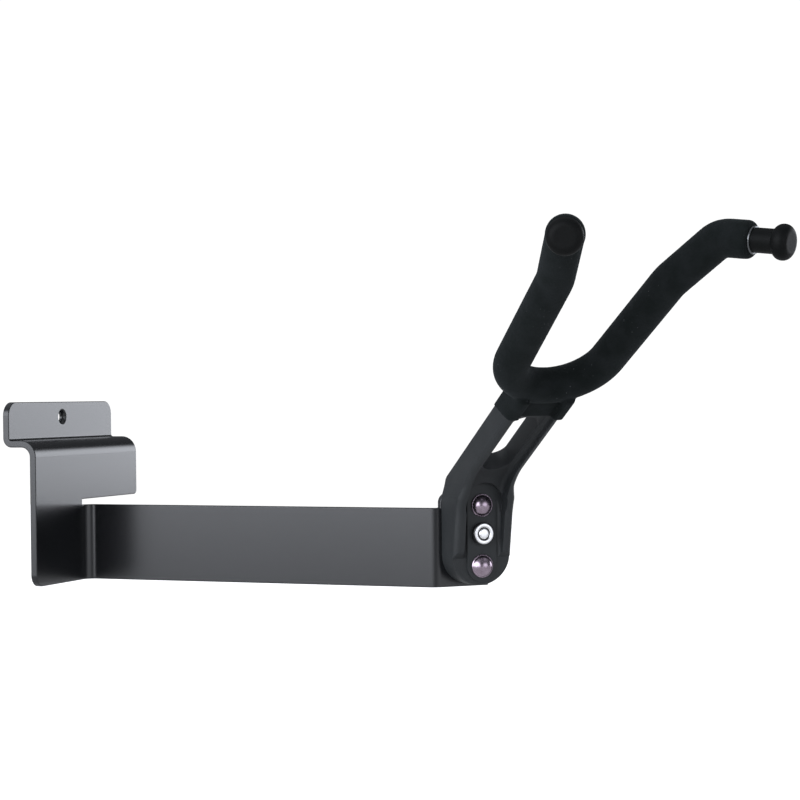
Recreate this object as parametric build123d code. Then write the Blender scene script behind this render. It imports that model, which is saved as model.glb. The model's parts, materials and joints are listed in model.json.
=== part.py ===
from build123d import *
import os
from math import asin, cos, radians, sin

# Wall guitar hanger for slat wall: a bent steel bracket with a long arm, its front flange turned
# 45 degrees, and a moulded carrier riveted to it that holds a padded U-shaped fork.
# Millimetres. +Z is up, -Y is the front (the guitar side), and the wall is behind Y = 0.
# Origin: on the wall's surface (the plate's back face), at the middle of the plate's width,
# at the underside of the shelf that passes through the slat's groove.

# Bracket: one sheet, bent four times
sheet = 3.5
bend_in = 5.0
bend_out = bend_in + sheet
bend_mid = bend_in + sheet / 2
tab_bend_mid = 3.0
plate_width = 106.0
plate_bottom = -71.0
plate_corner = 6.0
slat_gap = 12.0
tab_top = 23.1
tab_corner = 7.0
tab_hole = 5.0
tab_sink = 8.0
tab_hole_z = 15.0
wing_bottom = -28.5
wing_corner = 2.5

# Arm and flange, which leave the plate's lower half
arm_left = -0.8
arm_height = 39.5
arm_front = -196.0
flange_turn = 45.0
flange_height = 47.0
flange_overlap = 0.2
flange_length = 26.0
flange_corner = 5.0
flange_low_corner = 14.5
slot_left = arm_left - bend_in - 0.8

# Head frame: X along the flange, -Y straight out of it, Z up
head_along = 16.0
fold_x = arm_left + bend_out * (1 - cos(radians(flange_turn)))
fold_y = arm_front - bend_out * sin(radians(flange_turn))
head_x = fold_x + head_along * cos(radians(flange_turn))
head_y = fold_y - head_along * sin(radians(flange_turn))
head = Location((head_x, head_y, 0), (0, 0, -flange_turn))

# Carrier: foot against the flange, neck leaning up and forward
foot_half = 15.7
foot_bottom = -69.7
foot_round = 15.0
foot_top = -8.0
shoulder_low = -26.0
shoulder_high = -19.5
shoulder_round = 6.0
foot_web = 12.3
foot_rim_low = 12.5
foot_rim_high = 20.7
knee_radius = 34.0
neck_half = 13.8
neck_rise = 33.0
neck_depth = 13.5
neck_web = 9.5
neck_back = (0.0, -17.2)
rim_round = 2.8
channel_half = 10.5
channel_round = 2.4
channel_knee = 26.0
scoop_reach = 0.8
rim_end = -56.0
pad_half = 7.9
pad_face = 13.3
window_half = 7.5
window_low = 24.0
window_high = 71.5
saddle_radius = 6.4

# Fork: a bent rod in the fork's own plane, with the tips turned level
fork_rise = 34.2
fork_centre = (79.0, 28.7)
u_half = 22.6
u_radius = 23.5
prong_spread = 4.2
prong_kink = 80.0
tip_spread = 16.2
tip_corner = 112.2
tip_drop = 0.7
tip_reach = (14.3, 25.8, -3.6)
kink_radius = 25.0
tip_radius = 13.0
rod = 8.0
coat = 16.8
coat_end = 15.6
coat_end_round = 2.8
skirt_back = 24.0
skirt_front = 15.0
skirt_web = 19.0
skirt_wall = 1.2
skirt_round = 2.6
stem = 10.8
stem_start = 8.0
rod_end = 24.0
ring_outer = 12.4
ring_thick = 1.0
knob = 15.6
knob_thick = 7.6

# Fasteners and badge
rivet_z = (-30.0, -60.0)
rivet_shank = 6.0
rivet_head = 11.4
rivet_dome = 10.6
rivet_rise = 4.2
rivet_side = 0.6
rivet_shoulder = 0.3
tail = 8.6
tail_rise = 1.8
washer = 12.0
washer_thick = 1.0
badge_z = -44.0
badge = 11.2
badge_rise = 2.8
badge_stem = 5.0
badge_depth = 5.0
badge_face = 10.2
badge_inset = 0.35
badge_thick = 0.3


def slab(outline, near, far):
    """Extrude an outline drawn in the front view (X, Z) from depth near to depth far."""
    face = Plane.XZ * outline
    return Pos(0, -near, 0) * extrude(face, far - near)


def side_solid(outline, half):
    """Extrude an outline drawn in the side view (depth, Z) to both sides of the middle."""
    plane = Plane((0, 0, 0), x_dir=(0, -1, 0), z_dir=(-1, 0, 0))
    return extrude(plane * outline, half, both=True)


def loop(*points):
    return make_face(Polyline(*points, close=True))


def corner(points, index, radius):
    """Round one corner of a closed outline."""
    sketch = loop(*points)
    spot = Vector(*points[index])
    vertex = sketch.vertices().sort_by_distance(spot)[0]
    return fillet(vertex, radius)


# ---------------------------------------------------------------- bracket

def hook_profile():
    """Plate, shelf and tab, seen from the side as (Y, Z)."""
    line = FilletPolyline(
        (-sheet / 2, plate_bottom),
        (-sheet / 2, sheet / 2),
        (slat_gap + sheet / 2, sheet / 2),
        (slat_gap + sheet / 2, tab_top),
        radius=[bend_mid, tab_bend_mid],
    )
    return Plane.YZ * trace(line, sheet)


def front_outline():
    """What is left of the plate in the front view once the arm's slot is cut away."""
    half = plate_width / 2
    high = Pos(0, (tab_top + wing_bottom) / 2) * Rectangle(plate_width, tab_top - wing_bottom)
    top = fillet(high.vertices().group_by(Axis.Y)[-1], tab_corner)
    right = top.vertices().group_by(Axis.Y)[0].sort_by(Axis.X)[-1]
    top = fillet(right, wing_corner)
    width = half + slot_left
    low = Pos(-half + width / 2, (plate_bottom + wing_bottom) / 2)
    low = low * Rectangle(width, wing_bottom - plate_bottom)
    left = low.vertices().group_by(Axis.Y)[0].sort_by(Axis.X)[0]
    return top + fillet(left, plate_corner)


def arm_strip():
    """The sheet seen from above: out of the plate, along the arm and round to the flange."""
    turn = radians(flange_turn)
    mid = arm_left + sheet / 2
    setback = bend_mid * (1 - cos(turn)) / sin(turn)
    bend = (mid, arm_front - setback)
    reach = setback + flange_length
    line = FilletPolyline(
        (slot_left - 1.0, -sheet / 2),
        (mid, -sheet / 2),
        bend,
        (bend[0] + reach * sin(turn), bend[1] - reach * cos(turn)),
        radius=bend_mid,
    )
    return trace(line, sheet)


def flange_plate():
    """The flange stands higher than the arm, as a plate in the head frame."""
    left = -head_along - flange_overlap
    right = flange_length - head_along
    outline = Pos((left + right) / 2, plate_bottom + flange_height / 2)
    outline = outline * Rectangle(right - left, flange_height)
    far_low = outline.vertices().group_by(Axis.X)[-1].sort_by(Axis.Y)[0]
    outline = fillet(far_low, flange_low_corner)
    outline = fillet(outline.vertices().group_by(Axis.Y)[-1], flange_corner)
    plate = slab(outline, -sheet, 0)
    low = Pos(left - 5, 0, plate_bottom + arm_height / 2) * Box(10 + 2 * flange_overlap, 20, arm_height)
    return head * (plate - low)


def wall_bracket():
    hook = extrude(hook_profile(), plate_width / 2, both=True)
    cutter = Pos(0, 40, 0) * extrude(Plane.XZ * front_outline(), 80)
    hook = hook & cutter
    hole = Pos(0, slat_gap + sheet / 2, tab_hole_z) * Rot(90, 0, 0) * Cylinder(tab_hole / 2, 3 * sheet)
    sink = (tab_sink - tab_hole) / 2
    cone = Cone(tab_hole / 2, tab_sink / 2, sink)
    hole += Pos(0, slat_gap + sink / 2, tab_hole_z) * Rot(90, 0, 0) * cone
    arm = Pos(0, 0, plate_bottom) * extrude(arm_strip(), arm_height)
    body = hook + arm + flange_plate() - hole
    for z in rivet_z:
        body -= head * Pos(0, 0, z) * Rot(90, 0, 0) * Cylinder(rivet_shank / 2, 6 * sheet)
    return body


# ---------------------------------------------------------------- carrier

def along(start, rise, distance, offset=0.0):
    """Point at a distance along a rising line, shifted to its lower front side by offset."""
    a = radians(rise)
    return (
        start[0] + distance * cos(a) + offset * sin(a),
        start[1] + distance * sin(a) - offset * cos(a),
    )


def neck_end():
    """How far along the neck's back edge the bottom of the U lies."""
    a = radians(neck_rise)
    return (fork_centre[0] - neck_back[0]) * cos(a) + (fork_centre[1] - neck_back[1]) * sin(a)


def front_edge(low, high, depth, radius):
    """Side outline from the back edges to a front edge at a given depth in foot and neck."""
    length = neck_end()
    line = along(neck_back, neck_rise, 0, depth)
    slope = sin(radians(neck_rise)) / cos(radians(neck_rise))
    knee_z = line[1] + (high - line[0]) * slope
    points = [
        (0, foot_bottom),
        neck_back,
        along(neck_back, neck_rise, length),
        along(neck_back, neck_rise, length, depth),
        (high, knee_z),
        (low, foot_bottom),
    ]
    face = corner(points, 4, radius)
    back = face.vertices().sort_by_distance(Vector(*neck_back))[0]
    return fillet(back, shoulder_round)


def foot_outline():
    """Front view of foot and shoulders: round bottom, straight sides, narrowing to the neck."""
    right = [
        (foot_half, foot_bottom),
        (foot_half, shoulder_low),
        (neck_half, shoulder_high),
        (neck_half, foot_top),
    ]
    left = [(-x, z) for x, z in reversed(right)]
    shape = loop(*right, *left)
    shape = fillet(shape.vertices().group_by(Axis.Y)[0], foot_round)
    shoulders = shape.vertices().filter_by_position(Axis.Y, shoulder_low, shoulder_high)
    return fillet(shoulders, shoulder_round)


def is_front(edge):
    """Edges between the front surface and the sides, but not those across or at the neck's end."""
    box = edge.bounding_box()
    across = box.max.X - box.min.X > 2 * channel_half
    return not across and -box.max.Y > foot_rim_low - 0.1 and box.max.Z < fork_centre[1] + 2


def carrier_outside():
    body = side_solid(front_edge(foot_rim_low, foot_rim_high, neck_depth, knee_radius), foot_half + 1)
    foot = extrude(Plane.XZ * foot_outline(), 60)
    neck = Pos(0, -60, foot_top + 60 - 0.5) * Box(2 * neck_half, 120, 120)
    body = body & (foot + neck)
    return fillet(body.edges().filter_by(is_front), rim_round)


def is_channel_corner(edge):
    """Edges where the channel's side walls meet the web in front."""
    box = edge.bounding_box()
    side = abs(abs(box.min.X) - channel_half) < 0.01 and box.max.X - box.min.X < 0.01
    return side and -box.max.Y > foot_web - 0.1 and box.max.Z < fork_centre[1]


def channel():
    """The open channel in front of the web, from the coat down past the ends of the rims."""
    web = side_solid(front_edge(foot_web, foot_web, neck_web, channel_knee), foot_half + 20)
    groove = Pos(0, -80, 0) * Box(2 * channel_half, 160, 200) - web
    groove = fillet(groove.edges().filter_by(is_channel_corner), channel_round)
    ramp = loop(
        (foot_web, rim_end),
        (foot_web + 40, rim_end + 40),
        (foot_web + 40, foot_bottom - 20),
        (foot_web, foot_bottom - 20),
    )
    return groove + side_solid(ramp, foot_half + 20)


def pad():
    length = rivet_z[0] - rivet_z[1]
    outline = Pos(0, (rivet_z[0] + rivet_z[1]) / 2) * Rot(0, 0, 90) * SlotCenterToCenter(length, 2 * pad_half)
    return slab(outline, 0.5, pad_face)


def rivet_scoops():
    """Room beside each rivet head for the riveting tool, cut into the ribs."""
    reach = channel_half + scoop_reach
    cuts = Part()
    for z in rivet_z:
        cuts += Pos(0, -40 - pad_face, z) * Rot(90, 0, 0) * Cylinder(reach, 80)
    return cuts


def window():
    """Long slot through the neck's web, running up under the coat."""
    length = window_high - window_low
    outline = SlotOverall(length, 2 * window_half)
    centre = along(neck_back, neck_rise, (window_low + window_high) / 2, neck_depth / 2)
    tilt = Pos(0, -centre[0], centre[1]) * Rot(-neck_rise, 0, 0) * Rot(0, 0, 90)
    return tilt * extrude(outline, 40, both=True)


def carrier():
    body = carrier_outside() - channel() + pad()
    body -= rivet_scoops()
    body -= window()
    body += saddle()
    body -= fork_rod_local(rod)
    for z in rivet_z:
        body -= Pos(0, 0, z) * Rot(90, 0, 0) * Cylinder(rivet_shank / 2, 60)
    body -= Pos(0, -pad_face, badge_z) * Rot(90, 0, 0) * Cylinder(badge_stem / 2, 2 * badge_depth)
    return head * body


# ---------------------------------------------------------------- fork

def fork_point(w, a):
    """Point in the fork's plane: w to the side, a up the slope from the bottom of the U."""
    rise = radians(fork_rise)
    return Vector(w, -fork_centre[0] - a * cos(rise), fork_centre[1] + a * sin(rise))


def fork_corners(side):
    """Corners of one prong: bottom of the U, kink, and where the tip turns level."""
    spread = sin(radians(prong_spread)) / cos(radians(prong_spread))
    flare = sin(radians(tip_spread)) / cos(radians(tip_spread))
    kink = u_half + prong_kink * spread
    tip = kink + (tip_corner - prong_kink) * flare
    last = fork_point(side * tip, tip_corner) - Vector(0, 0, tip_drop)
    return [fork_point(side * u_half, 0), fork_point(side * kink, prong_kink), last]


def tip_direction(side):
    return Vector(side * tip_reach[0], -tip_reach[1], tip_reach[2]).normalized()


def tip_length():
    return Vector(*tip_reach).length


def fork_path(reach):
    """Centre line of the fork, each tip running a given distance past its corner."""
    left = fork_corners(-1)
    right = fork_corners(1)
    ends = [left[2] + tip_direction(-1) * reach, right[2] + tip_direction(1) * reach]
    points = [ends[0], left[2], left[1], left[0], right[0], right[1], right[2], ends[1]]
    radii = [tip_radius, kink_radius, u_radius, u_radius, kink_radius, tip_radius]
    return FilletPolyline(*points, radius=radii)


def tube_local(path, diameter):
    section = Plane(origin=path @ 0, z_dir=path % 0) * Circle(diameter / 2)
    return sweep(section, path=path)


def fork_rod_local(diameter):
    return tube_local(fork_path(rod_end), diameter)


def saddle():
    """Moulded saddle round the bottom of the U, hidden in the coat."""
    bar = tube_local(fork_path(coat_end), 2 * saddle_radius)
    block = Pos(0, -fork_centre[0], fork_centre[1]) * Box(2 * neck_half, 30, 40)
    return bar & block


def fork_core():
    return head * fork_rod_local(rod)


def beside_neck(from_end, offset):
    """Point in the side view: a distance back from the neck's end, offset in front of its back."""
    return along(neck_back, neck_rise, neck_end() - from_end, offset)


def skirt():
    """The coat's lower end, drawn down over the top of the neck and into its channel."""
    top = neck_depth + skirt_wall
    rise = radians(neck_rise)
    low = beside_neck(skirt_back, neck_depth / 2)
    direction = Vector(0, -cos(rise), sin(rise))
    plane = Plane(origin=(0, -low[0], low[1]), x_dir=(1, 0, 0), z_dir=direction)
    section = RectangleRounded(2 * (neck_half + skirt_wall), neck_depth + 2 * skirt_wall, skirt_round)
    sleeve = plane * extrude(section, skirt_back)
    side = loop(
        beside_neck(skirt_back, -skirt_wall),
        beside_neck(skirt_front, top),
        beside_neck(0, top),
        beside_neck(0, -skirt_wall),
    )
    groove = loop(
        beside_neck(skirt_back, neck_web - 1),
        beside_neck(skirt_web, neck_web - 1),
        beside_neck(skirt_web, neck_web + skirt_wall),
        beside_neck(0, neck_web + skirt_wall),
        beside_neck(0, top + 5),
        beside_neck(skirt_back, top + 5),
    )
    body = sleeve & side_solid(side, foot_half + 10)
    return body - side_solid(groove, channel_half - skirt_wall) - window()


def fork_coat():
    tube = tube_local(fork_path(coat_end), coat)
    ends = tube.faces().filter_by(GeomType.PLANE)
    tube = fillet(ends.edges(), coat_end_round)
    body = tube + skirt()
    body -= fork_rod_local(rod)
    for side in (-1, 1):
        body -= stem_local(side)
    return head * body - carrier()


def tip_plane(side, distance):
    tip = fork_corners(side)[2]
    direction = tip_direction(side)
    return Plane(origin=tip + direction * distance, x_dir=(0, 0, 1), z_dir=direction)


def stem_local(side):
    reach = tip_length() - stem_start
    return tip_plane(side, stem_start) * extrude(Circle(stem / 2), reach)


def end_knob(side):
    """Button knob and its stem, one moulding pushed on to the rod's end."""
    disc = extrude(Circle(knob / 2), knob_thick / 2, both=True)
    button = fillet(disc.edges().filter_by(GeomType.CIRCLE), knob_thick * 0.48)
    body = tip_plane(side, tip_length()) * button + stem_local(side)
    socket = tip_plane(side, stem_start) * extrude(Circle(rod / 2), rod_end - stem_start)
    return head * (body - socket)


def coat_ring(side):
    """Retaining ring on the stem, against the end of the coat."""
    outline = Circle(ring_outer / 2) - Circle(stem / 2)
    ring = extrude(outline, ring_thick)
    outer = ring.edges().filter_by(GeomType.CIRCLE).group_by(SortBy.RADIUS)[-1]
    placed = tip_plane(side, coat_end) * fillet(outer, ring_thick * 0.4)
    return head * placed


# ---------------------------------------------------------------- fasteners

def turned(profile):
    """Revolve a half profile (radius, distance out of the flange) about the outward axis."""
    solid = revolve(Plane.XZ * profile, Axis.Z)
    return Rot(90, 0, 0) * solid


def rivet(z):
    """Shank through carrier and flange, domed head in front and a clinched tail behind."""
    back = -sheet - washer_thick
    top = pad_face + rivet_rise
    dome_start = pad_face + rivet_side + rivet_shoulder
    dome = rivet_dome / 2
    rise = top - dome_start
    ball = (dome ** 2 + rise ** 2) / (2 * rise)
    half_turn = asin(dome / ball) / 2
    crown = (ball * sin(half_turn), top - ball * (1 - cos(half_turn)))
    outline = Polyline(
        (0, top),
        (0, back - tail_rise),
        (tail / 2 - 1.2, back - tail_rise),
        (tail / 2, back - 0.5),
        (tail / 2, back),
        (rivet_shank / 2, back),
        (rivet_shank / 2, pad_face),
        (rivet_head / 2, pad_face),
        (rivet_head / 2, pad_face + rivet_side),
        (rivet_head / 2 - rivet_shoulder, dome_start),
        (dome, dome_start),
    )
    cap = ThreePointArc((dome, dome_start), crown, (0, top))
    return head * Pos(0, 0, z) * turned(make_face([outline, cap]))


def rivet_washer(z):
    ring = Circle(washer / 2) - Circle(rivet_shank / 2)
    return head * Pos(0, sheet + washer_thick, z) * Rot(90, 0, 0) * extrude(ring, washer_thick)


def badge_plug():
    top = pad_face + badge_rise
    outline = Polyline(
        (0, pad_face - badge_depth),
        (badge_stem / 2, pad_face - badge_depth),
        (badge_stem / 2, pad_face),
        (badge / 2, pad_face),
        (badge / 2, top - 0.3),
        (badge / 2 - 0.3, top),
        (badge_face / 2, top),
        (badge_face / 2, top - badge_inset),
        (0, top - badge_inset),
        close=True,
    )
    return head * Pos(0, 0, badge_z) * turned(make_face(outline))


def badge_disc():
    start = pad_face + badge_rise - badge_inset
    disc = extrude(Circle(badge_face / 2), badge_thick)
    return head * Pos(0, -start, badge_z) * Rot(90, 0, 0) * disc


nodes = {
    "wall_bracket": wall_bracket(),
    "carrier": carrier(),
    "fork_core": fork_core(),
    "fork_coat": fork_coat(),
    "end_knob_left": end_knob(-1),
    "end_knob_right": end_knob(1),
    "coat_ring_left": coat_ring(-1),
    "coat_ring_right": coat_ring(1),
    "rivet_upper": rivet(rivet_z[0]),
    "rivet_lower": rivet(rivet_z[1]),
    "rivet_washer_upper": rivet_washer(rivet_z[0]),
    "rivet_washer_lower": rivet_washer(rivet_z[1]),
    "badge_plug": badge_plug(),
    "badge_disc": badge_disc(),
}

os.makedirs("parts", exist_ok=True)
for name, shape in nodes.items():
    export_step(shape, f"parts/{name}.step")
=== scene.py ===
import json
from math import cos, pi, radians, sin

import bmesh
import bpy
from mathutils import Matrix, Vector


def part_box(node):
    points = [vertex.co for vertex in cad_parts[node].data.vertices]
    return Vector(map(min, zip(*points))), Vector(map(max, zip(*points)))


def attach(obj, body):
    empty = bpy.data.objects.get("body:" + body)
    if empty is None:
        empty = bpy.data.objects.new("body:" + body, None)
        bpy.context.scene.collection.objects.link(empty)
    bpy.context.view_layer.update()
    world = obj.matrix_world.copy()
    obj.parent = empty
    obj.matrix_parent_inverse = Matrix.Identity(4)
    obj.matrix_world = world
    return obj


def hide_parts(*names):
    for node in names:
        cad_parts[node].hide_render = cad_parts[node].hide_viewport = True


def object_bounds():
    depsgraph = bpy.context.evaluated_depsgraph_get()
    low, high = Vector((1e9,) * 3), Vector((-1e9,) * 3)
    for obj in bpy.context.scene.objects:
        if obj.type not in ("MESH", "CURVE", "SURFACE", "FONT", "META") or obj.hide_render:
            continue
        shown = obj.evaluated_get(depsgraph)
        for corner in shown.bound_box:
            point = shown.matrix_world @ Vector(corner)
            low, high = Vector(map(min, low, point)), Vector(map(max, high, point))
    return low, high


# Looks of the slat-wall guitar hanger: edges rounded on the bracket and the moulding, a flocked
# coat on the fork, plated rivets and a plain badge. Metres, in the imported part's frame.

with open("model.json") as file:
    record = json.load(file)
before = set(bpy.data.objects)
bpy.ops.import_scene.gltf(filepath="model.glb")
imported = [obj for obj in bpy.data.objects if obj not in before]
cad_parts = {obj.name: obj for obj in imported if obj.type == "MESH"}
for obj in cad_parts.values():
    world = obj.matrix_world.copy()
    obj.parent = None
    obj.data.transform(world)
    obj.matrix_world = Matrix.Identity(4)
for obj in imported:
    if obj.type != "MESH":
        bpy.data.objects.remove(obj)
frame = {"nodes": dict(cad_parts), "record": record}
nodes = frame["nodes"]
cad_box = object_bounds()
low, high = cad_box
MM = 0.001

# Camera, in the part's frame
camera_place = Vector((-0.9436, -0.5470, 0.0244))
camera_yaw = radians(21.148)
camera_pitch = radians(-0.794)
camera_roll = radians(-0.563)
camera_lens = 91.168
camera_shift = (-0.0015, 0.030)

# Edge rounding
paint_edge = 0.5 * MM
paint_weld = 0.25 * MM
mould_edge = 0.15 * MM
mould_weld = 0.004 * MM
edge_angle = radians(28)
edge_segments = 3
flat_angle = radians(0.6)

# Flocked coat
coat_voxel = 0.6 * MM
coat_smooth = 0.6
coat_smooth_steps = 5
pile_height = 0.07 * MM
pile_grain = 0.9 * MM

# Badge: share of the disc's radius, height above the disc's middle in millimetres. The groove
# goes below the disc's back, so that the black plug shows in it.
badge_profile = [
    (0.00, 0.32), (0.20, 0.31), (0.34, 0.28), (0.43, 0.22), (0.48, 0.12), (0.50, -0.24),
    (0.65, -0.24), (0.67, 0.12), (0.71, 0.20), (0.78, 0.25), (0.86, 0.26), (0.94, 0.22),
    (0.98, 0.14), (1.00, 0.04),
]
badge_back = -0.15
badge_steps = 72

# Stage: the floor's glow on the object, and its glow as the camera sees it
floor_drop = 0.32
floor_size = 12.0
floor_glow = 0.25
floor_seen = 0.95

# Light: direction, full strength, angle of the bright core, angle where it ends
studio_sources = [
    ((0.88, -0.47, -0.03), 4.2, 14, 27),
    ((-0.93, 0.36, 0.04), 4.2, 22, 45),
    ((-0.36, -0.93, 0.02), 2.0, 9, 32),
    ((0.0, -0.1, 1.0), 0.4, 20, 60),
    ((0.0, 0.9, 0.35), 0.3, 20, 60),
]
studio_base = 0.12
backdrop_white = 1.05


# ---------------------------------------------------------------- camera, stage and light

def add_camera():
    data = bpy.data.cameras.new("camera")
    data.lens = camera_lens
    data.sensor_width = 36
    data.shift_x, data.shift_y = camera_shift
    data.clip_start = 0.01
    forward = Vector((
        cos(camera_yaw) * cos(camera_pitch),
        sin(camera_yaw) * cos(camera_pitch),
        sin(camera_pitch),
    ))
    level = Vector((sin(camera_yaw), -cos(camera_yaw), 0))
    upright = level.cross(forward)
    right = cos(camera_roll) * level + sin(camera_roll) * upright
    up = cos(camera_roll) * upright - sin(camera_roll) * level
    camera = bpy.data.objects.new("camera", data)
    turn = Matrix((right, up, -forward)).transposed().to_4x4()
    camera.matrix_world = Matrix.Translation(camera_place) @ turn
    bpy.context.scene.collection.objects.link(camera)
    bpy.context.scene.camera = camera


def add_floor():
    """A pale floor that glows nearly white to the camera and much less to the object."""
    mesh = bpy.data.meshes.new("floor")
    bm = bmesh.new()
    bmesh.ops.create_grid(bm, x_segments=1, y_segments=1, size=floor_size / 2)
    bm.to_mesh(mesh)
    bm.free()
    floor = bpy.data.objects.new("floor", mesh)
    floor.location = (0, 0, low.z - floor_drop)
    bpy.context.scene.collection.objects.link(floor)
    material = bpy.data.materials.new("pale_floor")
    material.use_nodes = True
    shader = material.node_tree.nodes["Principled BSDF"]
    shader.inputs["Base Color"].default_value = (0.6, 0.6, 0.6, 1)
    shader.inputs["Roughness"].default_value = 0.9
    shader.inputs["Specular IOR Level"].default_value = 0.1
    shader.inputs["Emission Color"].default_value = (1, 1, 1, 1)
    seen = material.node_tree.nodes.new("ShaderNodeLightPath").outputs["Is Camera Ray"]
    glow = material.node_tree.nodes.new("ShaderNodeMapRange")
    glow.inputs["To Min"].default_value = floor_glow
    glow.inputs["To Max"].default_value = floor_seen
    material.node_tree.links.new(seen, glow.inputs["Value"])
    material.node_tree.links.new(glow.outputs[0], shader.inputs["Emission Strength"])
    mesh.materials.append(material)


class Graph:
    """Short names for making nodes in one node tree."""

    def __init__(self, tree):
        self.nodes = tree.nodes
        self.links = tree.links

    def add(self, kind, sockets=None, **settings):
        node = self.nodes.new(kind)
        for name, value in settings.items():
            setattr(node, name, value)
        for name, value in (sockets or {}).items():
            self.put(node, name, value)
        return node

    def put(self, node, name, value):
        """Link an output socket to an input, or set the input's own value."""
        if isinstance(value, bpy.types.NodeSocket):
            self.links.new(value, node.inputs[name])
        else:
            node.inputs[name].default_value = value

    def math(self, operation, first, second=0.0):
        return self.add("ShaderNodeMath", {0: first, 1: second}, operation=operation).outputs[0]


def add_world():
    """White to look at; the light itself is a soft studio with a few broad sources."""
    world = bpy.data.worlds.new("studio")
    world.use_nodes = True
    bpy.context.scene.world = world
    graph = Graph(world.node_tree)
    graph.nodes.clear()
    direction = graph.add("ShaderNodeTexCoord").outputs["Generated"]
    total = graph.math("ADD", studio_base)
    for toward, strength, core, end in studio_sources:
        dot = graph.add("ShaderNodeVectorMath", {0: direction, 1: Vector(toward).normalized()},
                        operation="DOT_PRODUCT").outputs["Value"]
        reach = graph.add("ShaderNodeMapRange", {
            "Value": dot,
            "From Min": cos(radians(end)),
            "From Max": cos(radians(core)),
            "To Min": 0.0,
            "To Max": strength,
        }, interpolation_type="SMOOTHSTEP").outputs[0]
        total = graph.math("ADD", total, reach)
    light = graph.add("ShaderNodeBackground", {"Color": (0.90, 0.93, 1.0, 1), "Strength": total})
    white = graph.add("ShaderNodeBackground", {"Color": (1, 1, 1, 1), "Strength": backdrop_white})
    seen = graph.add("ShaderNodeLightPath").outputs["Is Camera Ray"]
    mix = graph.add("ShaderNodeMixShader", {0: seen, 1: light.outputs[0], 2: white.outputs[0]})
    output = graph.add("ShaderNodeOutputWorld")
    graph.links.new(mix.outputs[0], output.inputs["Surface"])


# ---------------------------------------------------------------- materials

class Finish(Graph):
    """A principled material whose patterns are laid out in the part's own metres."""

    def __init__(self, name, **sockets):
        self.material = bpy.data.materials.new(name)
        self.material.use_nodes = True
        super().__init__(self.material.node_tree)
        self.shader = self.nodes["Principled BSDF"]
        self.place = self.add("ShaderNodeTexCoord").outputs["Object"]
        for key, value in sockets.items():
            self.put(self.shader, key.replace("_", " "), value)

    def noise(self, size, detail=3.0, roughness=0.5):
        """Noise whose blobs are about size across."""
        node = self.add("ShaderNodeTexNoise", {
            "Vector": self.place, "Scale": 1 / size, "Detail": detail, "Roughness": roughness})
        return node.outputs["Fac"]

    def ranged(self, value, low_in, high_in, low_out, high_out):
        node = self.add("ShaderNodeMapRange", {
            "Value": value, "From Min": low_in, "From Max": high_in,
            "To Min": low_out, "To Max": high_out})
        return node.outputs[0]

    def mixed(self, factor, first, second):
        node = self.add("ShaderNodeMix", data_type="RGBA")
        self.put(node, 0, factor)
        self.put(node, 6, first)
        self.put(node, 7, second)
        return node.outputs[2]

    def bump(self, height, depth, strength=1.0, below=None):
        sockets = {"Height": height, "Distance": depth, "Strength": strength}
        if below is not None:
            sockets["Normal"] = below
        return self.add("ShaderNodeBump", sockets).outputs[0]

    def specks(self, spacing, size):
        """1 in small round dots that lie about spacing apart, 0 between them."""
        cells = self.add("ShaderNodeTexVoronoi", {
            "Vector": self.place, "Scale": 1 / spacing, "Randomness": 1.0})
        return self.ranged(cells.outputs["Distance"], 0.6 * size / spacing, size / spacing, 1.0, 0.0)


def powder_coat():
    """Satin black powder coat: fine orange peel over a slow change of tone."""
    paint = Finish("bracket_paint")
    tone = paint.ranged(paint.noise(40 * MM, 2.0), 0.3, 0.7, 0.0, 1.0)
    colour = paint.mixed(tone, (0.0030, 0.0036, 0.0046, 1), (0.0048, 0.0056, 0.0070, 1))
    dust = paint.math("MULTIPLY", paint.specks(5 * MM, 0.16 * MM), 0.35)
    colour = paint.mixed(dust, colour, (0.16, 0.16, 0.17, 1))
    paint.put(paint.shader, "Base Color", colour)
    fine = paint.noise(0.5 * MM, 4.0, 0.6)
    paint.put(paint.shader, "Roughness", paint.ranged(fine, 0.3, 0.7, 0.20, 0.27))
    peel = paint.bump(paint.noise(1.6 * MM, 2.0), 0.012 * MM, 0.5)
    paint.put(paint.shader, "Normal", paint.bump(fine, 0.004 * MM, 0.4, peel))
    paint.put(paint.shader, "IOR", 1.6)
    return paint.material


def moulded_plastic(name, dark, light, smooth, rough, grain=0.35 * MM, depth=0.012 * MM, level=0.5):
    """Satin moulding with a fine spark-eroded grain and faint flow marks."""
    plastic = Finish(name, Specular_IOR_Level=level)
    flow = plastic.ranged(plastic.noise(14 * MM, 2.0), 0.35, 0.65, 0.0, 1.0)
    plastic.put(plastic.shader, "Base Color", plastic.mixed(flow, dark, light))
    fine = plastic.noise(grain, 3.0, 0.6)
    plastic.put(plastic.shader, "Roughness", plastic.ranged(fine, 0.3, 0.7, smooth, rough))
    plastic.put(plastic.shader, "Normal", plastic.bump(fine, depth, 0.6))
    return plastic.material


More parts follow.
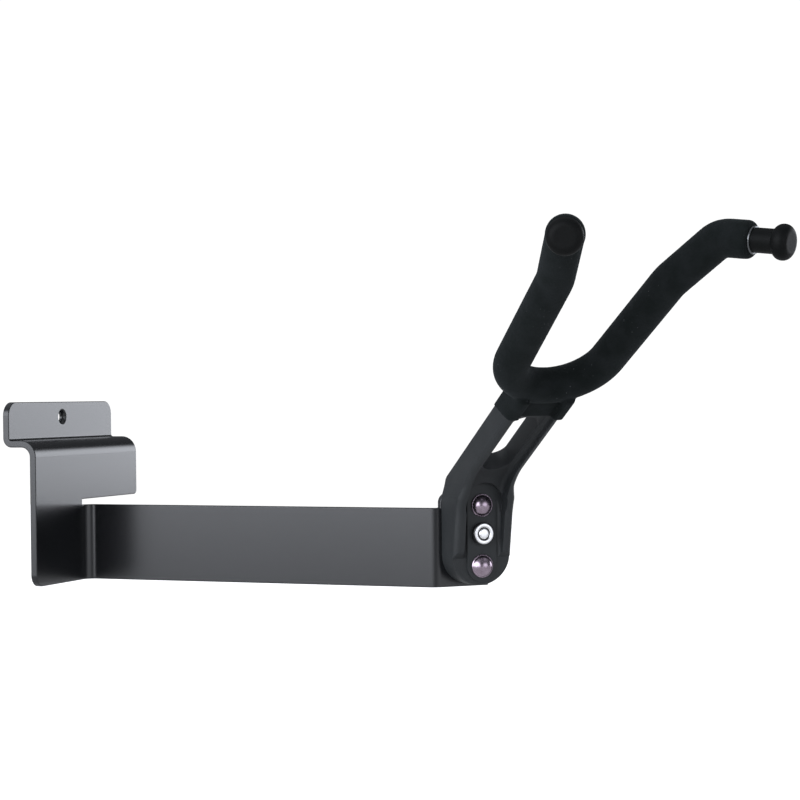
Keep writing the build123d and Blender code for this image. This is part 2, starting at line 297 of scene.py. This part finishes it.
def flock():
    """Short black pile: soft sheen, brushed patches and a little caught lint."""
    pile = Finish("flock", Sheen_Weight=0.06, Sheen_Roughness=0.5, Specular_IOR_Level=0.05)
    pile.put(pile.shader, "Sheen Tint", (0.72, 0.80, 0.84, 1))
    brushed = pile.ranged(pile.noise(9 * MM, 3.0, 0.55), 0.38, 0.68, 0.0, 1.0)
    colour = pile.mixed(brushed, (0.0060, 0.0080, 0.0077, 1), (0.0105, 0.0125, 0.0130, 1))
    fibre = pile.noise(0.28 * MM, 4.0, 0.7)
    tips = pile.ranged(fibre, 0.45, 0.75, 0.0, 0.5)
    colour = pile.mixed(tips, colour, (0.017, 0.019, 0.020, 1))
    spread = pile.ranged(pile.noise(22 * MM, 2.0), 0.5, 0.62, 0.0, 0.4)
    lint = pile.math("MULTIPLY", pile.specks(2.6 * MM, 0.24 * MM), spread)
    colour = pile.mixed(lint, colour, (0.20, 0.20, 0.21, 1))
    pile.put(pile.shader, "Base Color", colour)
    pile.put(pile.shader, "Roughness", pile.ranged(fibre, 0.3, 0.7, 0.85, 1.0))
    rows = pile.bump(pile.noise(1.1 * MM, 2.0), 0.10 * MM, 0.5)
    pile.put(pile.shader, "Normal", pile.bump(fibre, 0.09 * MM, 0.8, rows))
    return pile.material


def metal(name, dark, light, smooth, rough, grain=0.6 * MM, depth=0.002 * MM):
    """Bare or plated metal with a faint change of tone and fine handling marks."""
    bare = Finish(name, Metallic=1.0)
    tone = bare.ranged(bare.noise(3 * MM, 3.0), 0.35, 0.65, 0.0, 1.0)
    bare.put(bare.shader, "Base Color", bare.mixed(tone, dark, light))
    fine = bare.noise(grain, 3.0, 0.6)
    bare.put(bare.shader, "Roughness", bare.ranged(fine, 0.3, 0.7, smooth, rough))
    bare.put(bare.shader, "Normal", bare.bump(fine, depth, 0.5))
    return bare.material


def make_finishes():
    return {
        "bracket_paint": powder_coat(),
        "carrier_plastic": moulded_plastic(
            "carrier_plastic", (0.017, 0.0195, 0.021, 1), (0.022, 0.0245, 0.026, 1), 0.50, 0.62,
            level=0.36),
        "fork_rod": metal("fork_rod", (0.42, 0.42, 0.43, 1), (0.5, 0.5, 0.51, 1), 0.25, 0.4),
        "flock": flock(),
        "knob_plastic": moulded_plastic(
            "knob_plastic", (0.002, 0.0026, 0.0026, 1), (0.0035, 0.004, 0.004, 1), 0.48, 0.60,
            level=0.12),
        "ring_steel": metal(
            "ring_steel", (0.10, 0.105, 0.11, 1), (0.16, 0.165, 0.17, 1), 0.2, 0.3),
        "rivet_steel": metal(
            "rivet_steel", (0.34, 0.27, 0.33, 1), (0.44, 0.36, 0.43, 1), 0.20, 0.30),
        "washer_steel": metal("washer_steel", (0.5, 0.5, 0.5, 1), (0.6, 0.6, 0.6, 1), 0.3, 0.45),
        "badge_black": moulded_plastic(
            "badge_black", (0.010, 0.010, 0.011, 1), (0.013, 0.013, 0.014, 1), 0.15, 0.25),
        "badge_silver": metal(
            "badge_silver", (0.86, 0.86, 0.87, 1), (0.93, 0.93, 0.94, 1), 0.28, 0.38,
            grain=0.3 * MM, depth=0.004 * MM),
    }


def paint_node(node, finishes, slot):
    """Give a carried-over CAD node its finish."""
    mesh = nodes[node].data
    mesh.materials.clear()
    mesh.materials.append(finishes[slot])
    mesh.shade_smooth()


# ---------------------------------------------------------------- pieces

def linked(name, mesh):
    piece = bpy.data.objects.new(name, mesh)
    bpy.context.scene.collection.objects.link(piece)
    return piece


def keep(piece, finishes, slot, *replaced):
    """Finish, body, slot and the CAD nodes that a new piece stands for."""
    piece.data.materials.clear()
    piece.data.materials.append(finishes[slot])
    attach(piece, "root")
    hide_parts(*replaced)


def apply_modifiers(piece):
    graph = bpy.context.evaluated_depsgraph_get()
    mesh = bpy.data.meshes.new_from_object(piece.evaluated_get(graph))
    piece.modifiers.clear()
    piece.data = mesh


def rounded_copy(node, name, width, weld):
    """A copy of a CAD node with its sharp edges rounded, after steps shorter than weld are closed."""
    mesh = nodes[node].data.copy()
    bm = bmesh.new()
    bm.from_mesh(mesh)
    bmesh.ops.remove_doubles(bm, verts=bm.verts, dist=weld)
    bmesh.ops.dissolve_limit(bm, angle_limit=flat_angle, verts=bm.verts, edges=bm.edges)
    bm.to_mesh(mesh)
    bm.free()
    mesh.shade_smooth()
    piece = linked(name, mesh)
    bevel = piece.modifiers.new("edges", "BEVEL")
    bevel.width = width
    bevel.segments = edge_segments
    bevel.limit_method = "ANGLE"
    bevel.angle_limit = edge_angle
    bevel.use_clamp_overlap = False
    even = piece.modifiers.new("normals", "WEIGHTED_NORMAL")
    even.mode = "FACE_AREA"
    even.weight = 80
    apply_modifiers(piece)
    return piece


def flocked_coat():
    """The coat as one soft skin, its edges relaxed and its pile raised a little."""
    piece = linked("flocked_coat", nodes["fork_coat"].data.copy())
    remesh = piece.modifiers.new("skin", "REMESH")
    remesh.mode = "VOXEL"
    remesh.voxel_size = coat_voxel
    relax = piece.modifiers.new("relax", "SMOOTH")
    relax.factor = coat_smooth
    relax.iterations = coat_smooth_steps
    pile = bpy.data.textures.new("pile", "CLOUDS")
    pile.noise_scale = pile_grain
    raise_pile = piece.modifiers.new("pile", "DISPLACE")
    raise_pile.texture = pile
    raise_pile.texture_coords = "LOCAL"
    raise_pile.strength = 2 * pile_height
    raise_pile.mid_level = 0.5
    apply_modifiers(piece)
    piece.data.shade_smooth()
    return piece


def badge_face():
    """A plain silver boss and rim, with a groove between them down to the black plug."""
    disc_low, disc_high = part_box("badge_disc")
    centre = (disc_low + disc_high) / 2
    outward = Vector((-1, -1, 0)).normalized()
    upward = Vector((0, 0, 1))
    aside = upward.cross(outward)
    radius = (disc_high.z - disc_low.z) / 2
    bm = bmesh.new()
    top = bm.verts.new(centre + outward * badge_profile[0][1] * MM)
    rings = []
    for share, rise in badge_profile[1:] + [(1.0, badge_back)]:
        ring = []
        for step in range(badge_steps):
            angle = 2 * pi * step / badge_steps
            flat = (aside * cos(angle) + upward * sin(angle)) * share * radius
            ring.append(bm.verts.new(centre + flat + outward * rise * MM))
        rings.append(ring)
    for step in range(badge_steps):
        after = (step + 1) % badge_steps
        bm.faces.new((top, rings[0][step], rings[0][after]))
        for inner, outer in zip(rings, rings[1:]):
            bm.faces.new((inner[step], outer[step], outer[after], inner[after]))
    bm.faces.new(list(reversed(rings[-1])))
    bmesh.ops.recalc_face_normals(bm, faces=bm.faces)
    mesh = bpy.data.meshes.new("badge_face")
    bm.to_mesh(mesh)
    bm.free()
    mesh.shade_smooth()
    return linked("badge_face", mesh)


def main():
    scene = bpy.context.scene
    scene.view_settings.view_transform = "Standard"
    add_camera()
    add_floor()
    add_world()
    finishes = make_finishes()

    for part in frame["record"]["subparts"]:
        paint_node(part["node"], finishes, part["material_slot"])

    bracket = rounded_copy("wall_bracket", "bent_bracket", paint_edge, paint_weld)
    keep(bracket, finishes, "bracket_paint", "wall_bracket")
    moulding = rounded_copy("carrier", "moulded_carrier", mould_edge, mould_weld)
    keep(moulding, finishes, "carrier_plastic", "carrier")
    coat = flocked_coat()
    keep(coat, finishes, "flock", "fork_coat")
    keep(badge_face(), finishes, "badge_silver", "badge_disc")


main()
